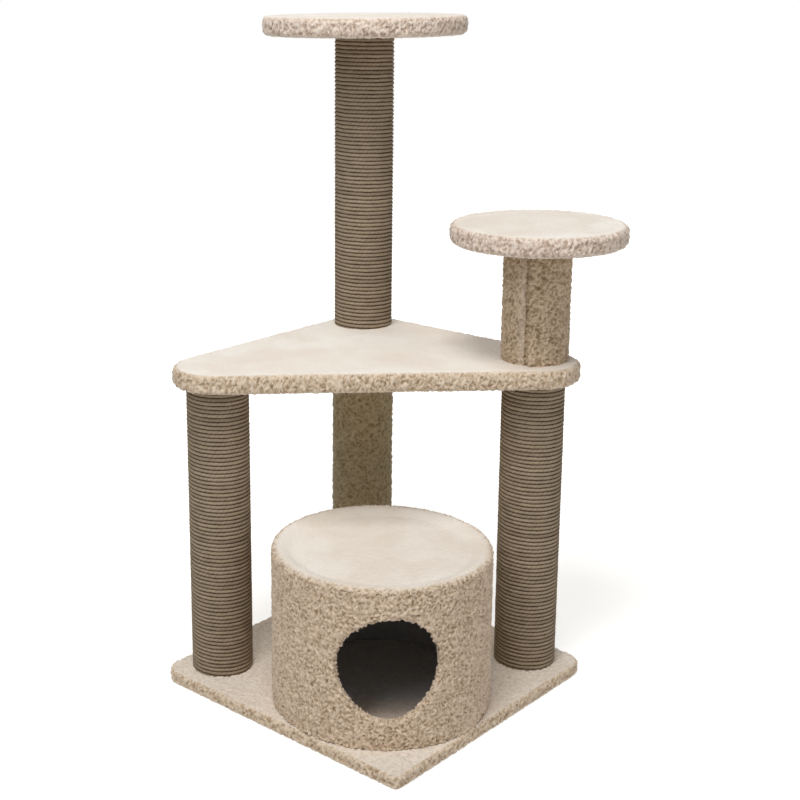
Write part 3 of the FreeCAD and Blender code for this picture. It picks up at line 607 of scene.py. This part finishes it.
# ------------------------------------------------------------------------- base, covered
# A square board standing cornerwise under one stretched piece of sherpa, which goes round
# the edge and ends in a narrow stapled fold below, so the board rests flat on the floor.
BASE_CORNERS = (0.010, 0.033, 0.033, 0.033)
BASE_ROLL = 0.005
COVER_ON_EDGE = 0.006
FOLD_WIDTH = 0.030
FOLD_THICK = 0.0015
BASE_TOP_LOFT = 0.55
low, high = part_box("base_cover")
HALF_DIAGONAL = high.x + BASE_CORNERS[1] * (math.sqrt(2) - 1)
SQUARE = [(0, -1), (1, 0), (0, 1), (-1, 0)]
base_plan = [(x * HALF_DIAGONAL, y * HALF_DIAGONAL, r) for (x, y), r in zip(SQUARE, BASE_CORNERS)]


def round_footprint(node):
    """Centre and radius of an upright round node."""
    low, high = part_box(node)
    return (low.x + high.x) / 2, (low.y + high.y) / 2, (high.x - low.x) / 2


def standing_on(*nodes, margin=0.006):
    """The parts of a plate that stay hidden under these round pieces."""
    return [(x, y, radius - margin) for x, y, radius in map(round_footprint, nodes)]


base_fleece = plate_skin(
    "base_fleece", lambda inset: rounded(base_plan, inset, SKIN_STEP), 0.0, high.z, BASE_ROLL,
    COVER_ON_EDGE, FOLD_WIDTH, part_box("base_board")[0].z - low.z + FOLD_THICK,
    standing_on("left_post_rope", "right_post_rope", "rear_post_cover", "condo_wall_cover"),
    top_loft=BASE_TOP_LOFT)
grown(base_fleece, pile_tree, finish=sherpa, seed=1.0)
place_piece(base_fleece, "base_cover")

# ------------------------------------------------------------------- shelf, perch and top
# Three boards wrapped the same way: a rounded triangle on the three lower posts, a small
# round perch and a larger round top.
SHELF_CORNERS = (0.065, 0.0585, 0.065)
PLATE_ROLL = 0.009
# The shelf's front corners lie as far to each side as its front edge lies before its rear
# corner.
low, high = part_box("shelf_cover")
shelf_reach = HALF_DIAGONAL - low.y
shelf_plan = [(shelf_reach, low.y, SHELF_CORNERS[0]), (0.0, HALF_DIAGONAL, SHELF_CORNERS[1]),
              (-shelf_reach, low.y, SHELF_CORNERS[2])]
UNDER_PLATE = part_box("shelf_board")[0].z - low.z
shelf_fleece = plate_skin(
    "shelf_fleece", lambda inset: rounded(shelf_plan, inset, SKIN_STEP), low.z, high.z, PLATE_ROLL,
    COVER_ON_EDGE, FOLD_WIDTH, UNDER_PLATE, standing_on("upper_post_rope", "perch_post_cover"))
grown(shelf_fleece, pile_tree, finish=sherpa, seed=2.0)
place_piece(shelf_fleece, "shelf_cover")

ROUND_STEP = 0.0014
for plate, seed in (("top", 3.0), ("perch", 4.0)):
    low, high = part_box(f"{plate}_cover")
    x, y, radius = round_footprint(f"{plate}_cover")
    disc_fleece = plate_skin(f"{plate}_fleece", circle((x, y), radius, ROUND_STEP), low.z, high.z,
                             PLATE_ROLL, COVER_ON_EDGE, FOLD_WIDTH, UNDER_PLATE)
    grown(disc_fleece, pile_tree, finish=pink_sherpa, seed=seed)
    place_piece(disc_fleece, f"{plate}_cover")

# ---------------------------------------------------------------------- posts in fleece
# The rear post and the perch post are cardboard tubes in sewn fleece sleeves. The perch
# post's sleeve laps over itself in an upright seam, towards the front and a little left.
SEAM_LAP = 0.0034
SEAM_GROOVE = 0.003
SEAM_WIDTH = math.radians(26)
STITCH_WIDTH = 0.06
# Each sleeve takes a darker fleece: painted shade on posts under the shelf and the perch.
SLEEVES = {
    "rear_post_cover": (math.radians(90), 5.0, sherpa_fleece("shaded_sherpa_fleece", SHADED_SHERPA)),
    "perch_post_cover": (math.radians(-116), 6.0, sherpa_fleece("post_sherpa_fleece", SHADED_POST_SHERPA)),
}
for node, (seam, seed, finish) in SLEEVES.items():
    low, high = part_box(node)
    x, y, radius = round_footprint(node)
    bore = round_footprint(node.replace("cover", "tube"))[2]
    columns = round(2 * math.pi * radius / SKIN_STEP)
    angles = seam + 2 * math.pi * np.arange(columns) / columns
    past = 2 * math.pi * np.arange(columns) / columns
    before = 2 * math.pi - past
    # The upper edge of the lap stands proud on one side of the sunken stitches.
    sunk = SEAM_GROOVE * (np.minimum(past, before) < STITCH_WIDTH)
    lap = SEAM_LAP * np.exp(-(past / SEAM_WIDTH) ** 2) * (past > STITCH_WIDTH / 2) - sunk
    # Beyond the seam a band lies flatter and paler: partly painted light on the post's left side.
    brushed_and_lit = 1.0 - 0.3 * np.exp(-(before / SEAM_WIDTH) ** 4) * (before > STITCH_WIDTH)
    wheel = np.column_stack([np.cos(angles), np.sin(angles)])
    centre = np.array((x, y))
    levels = np.linspace(low.z, high.z, round((high.z - low.z) / SKIN_STEP))
    outer = [at_height(centre + wheel * (radius + lap)[:, None], z) for z in levels]
    close = [at_height(centre + wheel * bore, z) for z in (low.z, high.z)]
    sleeve = Shell()
    sleeve.rings([close[0], *outer, close[1], close[0]], [0.0, *[brushed_and_lit] * len(outer), 0.0, 0.0])
    fleece_sleeve = sleeve.piece(node.replace("cover", "sleeve"))
    grown(fleece_sleeve, pile_tree, finish=finish, seed=seed)
    place_piece(fleece_sleeve, node)

# ----------------------------------------------------------------------- posts in sisal
# Three posts are wound with three-strand sisal rope, turn on turn and glued and stapled at
# the ends. The rope is grey-brown and dry; painted shade darkens the grooves between turns
# and strands, and painted highlight lightens the crests.
# The darkest colour is painted shade in the grooves; the palest is partly painted highlight.
SISAL = {"shaded_groove": "#5C4F42", "fibre": "#877763", "pale": "#B3A28A", "fray": "#C9BBA4"}
ROPE_THICKNESS = 0.006
STRAND_TURN = 0.021
STEPS_ROUND_POST = 48
SIDES_OF_ROPE = 10
# Frayed fibres: how many stand off a square metre, their length, radius and lean in radians.
FRAYS_PER_SQUARE_METRE = 900.0
FRAY_LENGTH, FRAY_RADIUS, FRAY_LEAN = 0.007, 0.00016, 1.3
# How far a turn sits out of true, and how often that changes per metre.
UNEVEN, UNEVEN_PER_METRE = 0.0016, 70.0
FIBRES_PER_METRE = 60.0


def sisal_rope(name):
    """Three twisted strands: grooves in painted shade, dry streaky fibres, a few pale stray ends."""
    material, tree, surface = new_material(name)
    section = add(tree, "ShaderNodeAttribute", attribute_name="section", output="Vector")
    outer = add(tree, "ShaderNodeAttribute", attribute_name="outer", output="Fac")
    along = add(tree, "ShaderNodeAttribute", attribute_name="along", output="Fac")
    fray = add(tree, "ShaderNodeAttribute", attribute_name="fray", output="Fac")
    across = add(tree, "ShaderNodeSeparateXYZ", {0: section}).node.outputs
    angle = add(tree, "ShaderNodeMath", {0: across["Y"], 1: across["X"]}, operation="ARCTAN2")
    turned = add(tree, "ShaderNodeMath", {0: along, 1: 2 * math.pi / STRAND_TURN, 2: angle},
                 operation="MULTIPLY_ADD")
    # The size of the sine of one and a half turns has three humps: one for each strand.
    half = add(tree, "ShaderNodeMath", {0: turned, 1: 1.5}, operation="MULTIPLY")
    wave = add(tree, "ShaderNodeMath", {0: half}, operation="SINE")
    strand = add(tree, "ShaderNodeMath", {0: wave}, operation="ABSOLUTE")
    run = add(tree, "ShaderNodeCombineXYZ", {
        "X": add(tree, "ShaderNodeMath", {0: turned}, operation="COSINE"),
        "Y": add(tree, "ShaderNodeMath", {0: turned}, operation="SINE"),
        "Z": add(tree, "ShaderNodeMath", {0: along, 1: FIBRES_PER_METRE},
                 operation="MULTIPLY")})
    fibres = add(tree, "ShaderNodeTexNoise", {
        "Vector": run, "Scale": 5.0, "Detail": 4.0, "Roughness": 0.7}, output="Fac")
    relief = add(tree, "ShaderNodeMath", {0: strand, 1: 0.12, 2: fibres}, operation="MULTIPLY_ADD")
    # Where two turns touch the rope darkens: painted shade.
    proud = add(tree, "ShaderNodeMapRange", {"Value": outer, 1: 0.0, 2: 1.0},
                interpolation_type="SMOOTHSTEP", output="Result")
    down_rope = add(tree, "ShaderNodeCombineXYZ", {"X": along})
    turn_tone = add(tree, "ShaderNodeTexNoise", {"Vector": down_rope, "Scale": 3.0}, output="Fac")
    turn_share = add(tree, "ShaderNodeMapRange", {
        "Value": turn_tone, 1: 0.3, 2: 0.7, 3: 0.8, 4: 1.2}, output="Result")
    lit = add(tree, "ShaderNodeMath", {0: relief, 1: turn_share}, operation="MULTIPLY")
    # The tone runs from painted shade in the grooves to painted highlight on the crests.
    tone = add(tree, "ShaderNodeMath", {0: lit, 1: proud}, operation="MULTIPLY")
    ramp = colour_ramp(tree, tone, [
        (0.10, SISAL["shaded_groove"]), (0.42, SISAL["fibre"]), (0.72, SISAL["pale"])])
    ends = add(tree, "ShaderNodeMix", {0: fray, 6: ramp, 7: paint(SISAL["fray"])},
               data_type="RGBA", output=2)
    tree.links.new(ends, surface.inputs["Base Color"])
    surface.inputs["Roughness"].default_value = 0.9
    surface.inputs["Specular IOR Level"].default_value = 0.2
    dents(tree, surface, relief, 0.8, 0.0007)
    return material


def wound_rope(name, material):
    """Geometry Nodes that wind a rope round a post, with a few frayed fibres."""
    tree = bpy.data.node_groups.new(name, "GeometryNodeTree")
    tree.interface.new_socket("Blank", in_out="INPUT", socket_type="NodeSocketGeometry")
    for label, kind in (("Foot", "NodeSocketVector"), ("Height", "NodeSocketFloat"),
                        ("Post radius", "NodeSocketFloat"), ("Thickness", "NodeSocketFloat"),
                        ("Seed", "NodeSocketInt")):
        tree.interface.new_socket(label, in_out="INPUT", socket_type=kind)
    tree.interface.new_socket("Rope", in_out="OUTPUT", socket_type="NodeSocketGeometry")
    given = add(tree, "NodeGroupInput").node.outputs
    thick = given["Thickness"]
    half = add(tree, "ShaderNodeMath", {0: thick, 1: 0.5}, operation="MULTIPLY")
    line_radius = add(tree, "ShaderNodeMath", {0: given["Post radius"], 1: half}, operation="ADD")
    rise = add(tree, "ShaderNodeMath", {0: given["Height"], 1: thick}, operation="SUBTRACT")
    turns = add(tree, "ShaderNodeMath", {0: rise, 1: thick}, operation="DIVIDE")
    helix = add(tree, "GeometryNodeCurveSpiral", {
        "Resolution": STEPS_ROUND_POST, "Rotations": turns, "Start Radius": line_radius,
        "End Radius": line_radius, "Height": rise})
    length = add(tree, "GeometryNodeSplineParameter", output="Length")
    measured = add(tree, "GeometryNodeStoreNamedAttribute", {
        "Geometry": helix, "Name": "along", "Value": length},
                   data_type="FLOAT", domain="POINT")
    # Each turn sits a fraction of a millimetre out of true.
    place = add(tree, "GeometryNodeInputPosition")
    unevenness = add(tree, "ShaderNodeTexNoise", {
        "Vector": place, "Scale": UNEVEN_PER_METRE, "Detail": 2.0}, output="Color")
    off = add(tree, "ShaderNodeVectorMath", {0: unevenness, 1: (0.5, 0.5, 0.5)},
              operation="SUBTRACT")
    shift = add(tree, "ShaderNodeVectorMath", {0: off, "Scale": UNEVEN}, operation="SCALE")
    line = add(tree, "GeometryNodeSetPosition", {"Geometry": measured, "Offset": shift})
    ring = add(tree, "GeometryNodeCurvePrimitiveCircle", {
        "Resolution": SIDES_OF_ROPE, "Radius": half})
    inverse = add(tree, "ShaderNodeMath", {0: 1.0, 1: half}, operation="DIVIDE")
    unit = add(tree, "ShaderNodeVectorMath", {0: place, "Scale": inverse}, operation="SCALE")
    profile = add(tree, "GeometryNodeStoreNamedAttribute", {
        "Geometry": ring, "Name": "section", "Value": unit},
                  data_type="FLOAT_VECTOR", domain="POINT")
    rope = add(tree, "GeometryNodeCurveToMesh", {
        "Curve": line, "Profile Curve": profile, "Fill Caps": True})
    # How far each point faces away from the post: 1 outermost, 0 where two turns touch.
    # The rope's finish darkens it towards 0 as painted shade.
    level_place = add(tree, "ShaderNodeVectorMath", {0: place, 1: (1.0, 1.0, 0.0)},
                      operation="MULTIPLY")
    from_axis = add(tree, "ShaderNodeVectorMath", {0: level_place},
                    operation="LENGTH", output="Value")
    beyond = add(tree, "ShaderNodeMath", {0: from_axis, 1: line_radius}, operation="SUBTRACT")
    proud = add(tree, "ShaderNodeMath", {0: beyond, 1: half}, operation="DIVIDE")
    coil = add(tree, "GeometryNodeStoreNamedAttribute", {
        "Geometry": rope, "Name": "outer", "Value": proud},
               data_type="FLOAT", domain="POINT")
    spots = add(tree, "GeometryNodeDistributePointsOnFaces", {
        "Mesh": coil, "Density": FRAYS_PER_SQUARE_METRE, "Seed": given["Seed"]})
    hair = add(tree, "GeometryNodeMeshCone", {
        "Vertices": 3, "Radius Top": 0.0, "Radius Bottom": FRAY_RADIUS,
        "Depth": FRAY_LENGTH})
    pale = add(tree, "GeometryNodeStoreNamedAttribute", {
        "Geometry": hair, "Name": "fray", "Value": 1.0}, data_type="FLOAT", domain="POINT")
    strays = add(tree, "GeometryNodeInstanceOnPoints", {"Points": spots, "Instance": pale,
        "Rotation": spots.node.outputs["Rotation"]})
    tilt = add(tree, "FunctionNodeRandomValue", {
        0: (-FRAY_LEAN, -FRAY_LEAN, 0.0), 1: (FRAY_LEAN, FRAY_LEAN, 0.0)},
               data_type="FLOAT_VECTOR")
    bent = add(tree, "GeometryNodeRotateInstances", {"Instances": strays, "Rotation": tilt})
    both = add(tree, "GeometryNodeJoinGeometry")
    tree.links.new(coil, both.node.inputs[0])
    tree.links.new(bent, both.node.inputs[0])
    placed = add(tree, "GeometryNodeTransform", {"Geometry": both, "Translation": given["Foot"]})
    ended(tree, placed, material, "Rope")
    return tree


rope_tree = wound_rope("wound rope", sisal_rope("sisal_rope"))
for post, seed in (("left", 1), ("right", 2), ("upper", 3)):
    low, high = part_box(f"{post}_post_rope")
    x, y, radius = round_footprint(f"{post}_post_rope")
    coil = new_piece(f"{post}_sisal", [], [])
    grown(coil, rope_tree, foot=(x, y, low.z + ROPE_THICKNESS / 2), height=high.z - low.z,
          post_radius=radius - ROPE_THICKNESS, thickness=ROPE_THICKNESS, seed=seed)
    place_piece(coil, f"{post}_post_rope")

# ------------------------------------------------------------------------- condo's wall
# A wide cardboard tube covered in one strip of sherpa, sewn up at the back. Its oval entry
# is cut by hand: the fleece rolls over the card's edge and ends inside, at the felt.
ENTRY_SHIFT = -0.004
ENTRY_BOTTOM, ENTRY_TOP = 0.059, 0.209
HALF_WIDTH, HALF_HEIGHT = 0.0685, (ENTRY_TOP - ENTRY_BOTTOM) / 2
ENTRY_POINTS = 265
ENTRY_ROLL = 0.005
HEM = 0.0028
FELT_THICK = 0.002
# How much longer the pile gets as it rolls over the entry's edge.
RAGGED = 0.6
low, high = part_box("condo_wall_cover")
condo_x, condo_y, wall_radius = round_footprint("condo_wall_cover")
card_radius = round_footprint("condo_tube")[2]
felt_radius = round_footprint("condo_lining")[2]
felt_inside = felt_radius - FELT_THICK
entry_middle = (ENTRY_BOTTOM + ENTRY_TOP) / 2
turn = 2 * math.pi * np.arange(ENTRY_POINTS) / ENTRY_POINTS
# An oval, narrower below, with the small wobbles and one dent of a hand-held knife.
cut_by_hand = (1 + 0.010 * np.sin(2 * turn + 0.8) + 0.008 * np.sin(3 * turn - 0.6)
               + 0.005 * np.sin(5 * turn + 2.0) - 0.03 * np.exp(-((turn - 2.35) / 0.5) ** 2))
narrowed = HALF_WIDTH * (1 + 0.05 * np.sin(turn))
entry = np.column_stack([narrowed * np.cos(turn), HALF_HEIGHT * np.sin(turn)]) * cut_by_hand[:, None]
outwards = entry / np.linalg.norm(entry, axis=1)[:, None]


def entry_grown(margin, radius):
    """The entry's outline seen from the front and widened by a margin, on the unrolled strip."""
    seen = entry + outwards * margin + (ENTRY_SHIFT, entry_middle)
    return np.column_stack([wall_radius * np.arcsin(seen[:, 0] / radius), seen[:, 1]])


def wrapped(flat, radius):
    """Points of the unrolled strip on a cylinder round the condo's axis; zero faces front."""
    angle = flat[:, 0] / wall_radius - math.pi / 2
    return np.column_stack([condo_x + radius * np.cos(angle), condo_y + radius * np.sin(angle),
                            flat[:, 1]])


def strip(bottom, top, step, hole, columns):
    """A strip round the condo with the entry cut out, as flat points and triangles."""
    side = math.pi * wall_radius
    across = np.linspace(-side, side, columns + 1)
    up = np.linspace(bottom, top, max(2, round((top - bottom) / step)) + 1)
    outline = np.vstack([np.column_stack([across, np.full(columns + 1, bottom)]),
                         np.column_stack([np.full(len(up) - 2, side), up[1:-1]]),
                         np.column_stack([across[::-1], np.full(columns + 1, top)]),
                         np.column_stack([np.full(len(up) - 2, -side), up[-2:0:-1]])])
    inner = lattice((-side + step / 2, bottom + step / 2), (side - step / 2, top - step / 2), step)
    beyond = hole + (hole - hole.mean(0)) * (step * 0.6 / HALF_WIDTH)
    return filled(outline, inner[~inside(inner, beyond)], [hole])


def edge_ring(columns, height, radius):
    """One level ring round the condo, at the columns a strip's edge has."""
    side = math.pi * wall_radius
    flat = np.column_stack([np.linspace(-side, side, columns + 1)[:-1], np.full(columns, height)])
    return wrapped(flat, radius)


def condo_skin(name, bottom, top, outer, inner, step, columns, hem, loft):
    """A closed wall between two radii with the entry through it; hem lists its rings."""
    shell = Shell()
    flat, faces = strip(bottom, top, step, entry_grown(hem[0][0], outer), columns)
    shell.patch(wrapped(flat, outer), faces, loft)
    shell.rings([wrapped(entry_grown(margin, radius), radius) for margin, radius, _ in hem],
                [share for _, _, share in hem])
    flat, faces = strip(bottom, top, 0.010, entry_grown(hem[-1][0], inner), columns)
    shell.patch(wrapped(flat, inner), faces, 0.0)
    for z in (bottom, top):
        shell.rings([edge_ring(columns, z, outer), edge_ring(columns, z, inner)], [loft, 0.0])
    return shell.piece(name)


hem_rings = [(ENTRY_ROLL * (1 - math.sin(t)), wall_radius - ENTRY_ROLL * (1 - math.cos(t)),
              1.0 + RAGGED * t) for t in np.linspace(0, math.pi / 2, 6)]
hem_rings += [(0.0, r, 1.0) for r in np.linspace(wall_radius - ENTRY_ROLL, felt_inside, 6)[1:]]
hem_rings += [(HEM, felt_inside, 0.0), (HEM, card_radius, 0.0)]
wall_columns = round(2 * math.pi * wall_radius / SKIN_STEP)
wall_fleece = condo_skin("condo_wall_fleece", low.z, high.z, wall_radius, card_radius, SKIN_STEP,
                         wall_columns, hem_rings, 1.0)
grown(wall_fleece, pile_tree, finish=sherpa_fleece("wall_sherpa_fleece", WALL_SHERPA),
      curl_width=FINE_CURL, seed=7.0)
place_piece(wall_fleece, "condo_wall_cover")

# --------------------------------------------------------------------- condo's lid cover
# The lid is a board let into the tube and covered with sherpa. The cover is stuffed to a
# soft rim along the wall's top edge, so the middle lies a little lower, like a shallow bed.
RIM_OUTSIDE = 0.008
RIM_INSIDE = 0.034
DISH_DEPTH = 0.0085
RIM_TALL = 0.0065
# From the outside of the card to the lid let into it: the card and a little play.
CARD_AND_PLAY = 0.0052
low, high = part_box("condo_lid_cover")
rim_base = high.z - RIM_TALL
lid_disc = circle((condo_x, condo_y), wall_radius, ROUND_STEP)
plug_inset = wall_radius - (card_radius - CARD_AND_PLAY)
lid_rings = [(plug_inset, low.z, 0.0), (plug_inset, rim_base, 0.0)]
for t in np.linspace(0, math.pi / 2, 8):
    lid_rings.append((RIM_OUTSIDE * (1 - math.cos(t)), rim_base + (high.z - rim_base) * math.sin(t),
                      0.95 - 0.3 * t))
for t in np.linspace(0, math.pi, 18)[1:]:
    lid_rings.append((RIM_OUTSIDE + (RIM_INSIDE - RIM_OUTSIDE) * t / math.pi,
                      high.z - DISH_DEPTH * (1 - math.cos(t)) / 2, max(TOP_LOFT, 0.48 - 0.3 * t)))
lid = Shell()
lid.rings([at_height(lid_disc(inset), z) for inset, z, _ in lid_rings],
          [share for _, _, share in lid_rings])
edge = lid_disc(RIM_INSIDE)
inner = lattice(edge.min(0), edge.max(0), ROUND_STEP)
within = inner[inside(inner, lid_disc(RIM_INSIDE + ROUND_STEP * 0.7))]
lid.cap(edge, high.z - DISH_DEPTH, TOP_LOFT, within)
lid.cap(lid_disc(plug_inset), low.z, 0.0)
lid_fleece = lid.piece("condo_lid_fleece")
grown(lid_fleece, pile_tree, finish=sherpa, seed=8.0)
place_piece(lid_fleece, "condo_lid_cover")

# -------------------------------------------------------------------------- condo inside
# The wall inside is lined with thin grey needle felt glued to the card, with the entry cut
# out of it. A loose round mat of sherpa lies on the floor disc; it greys towards the back,
# painted shade where little light comes in through the entry.
FELT = {"dark": "#98989A", "pale": "#B5B5B5", "tangles_per_metre": 700.0}
FELT_STEP, FELT_COLUMNS = 0.008, 180


def needle_felt(name):
    """Thin dry felt: mid grey, matte, with a fine tangle of fibres."""
    material, tree, surface = new_material(name)
    where = add(tree, "ShaderNodeTexCoord", output="Object")
    tangle = add(tree, "ShaderNodeTexNoise", {
        "Vector": where, "Scale": FELT["tangles_per_metre"], "Detail": 5.0,
        "Distortion": 1.2}, output="Fac")
    surface.inputs["Specular IOR Level"].default_value = 0.1
    stops = [(0.3, FELT["dark"]), (0.7, FELT["pale"])]
    grained(tree, surface, tangle, stops, 0.97, tangle, 0.4, 0.0005)
    return material


low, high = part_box("condo_lining")
felt_edge = [(HEM, felt_radius, 0.0), (HEM, felt_inside, 0.0)]
felt_wall = condo_skin("condo_felt", low.z, high.z, felt_radius, felt_inside, FELT_STEP,
                       FELT_COLUMNS, felt_edge, 0.0)
felt_wall.data.materials.append(needle_felt("needle_felt"))
place_piece(felt_wall, "condo_lining")

MAT_STEP = 0.0022
MAT_BEVEL = 0.001
MAT_LOFT = 0.45
# How far in from the mat's front edge its painted shade starts, and where it is full.
GREY_FROM, GREY_TO = 0.055, 0.125
# Its last colour is the grey of that painted shade.
MAT_SHERPA = dict(SHERPA, brushed_and_lit="#E6D3C4", worn="#DBC7B8", painted_shade="#BDBDBE")
low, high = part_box("condo_floor_mat")
mat_radius = round_footprint("condo_floor_mat")[2]
mat_disc = circle((condo_x, condo_y), mat_radius, MAT_STEP)
mat = Shell()
mat.rings([at_height(mat_disc(0.0), low.z), at_height(mat_disc(0.0), high.z - MAT_BEVEL),
           at_height(mat_disc(MAT_BEVEL), high.z)], [0.0, 0.0, 0.5])
inner = lattice(*[np.array((condo_x, condo_y)) + side * mat_radius for side in (-1, 1)], MAT_STEP)
within = inner[inside(inner, mat_disc(MAT_BEVEL + MAT_STEP * 0.7))]
mat.cap(mat_disc(MAT_BEVEL), high.z, MAT_LOFT, within)
mat.cap(mat_disc(0.0), low.z, 0.0)
floor_mat = mat.piece("condo_mat")
front = condo_y - mat_radius
mat_finish = sherpa_fleece("trodden_sherpa_fleece", MAT_SHERPA, (front + GREY_FROM, front + GREY_TO))
grown(floor_mat, pile_tree, finish=mat_finish, seed=9.0)
place_piece(floor_mat, "condo_floor_mat")
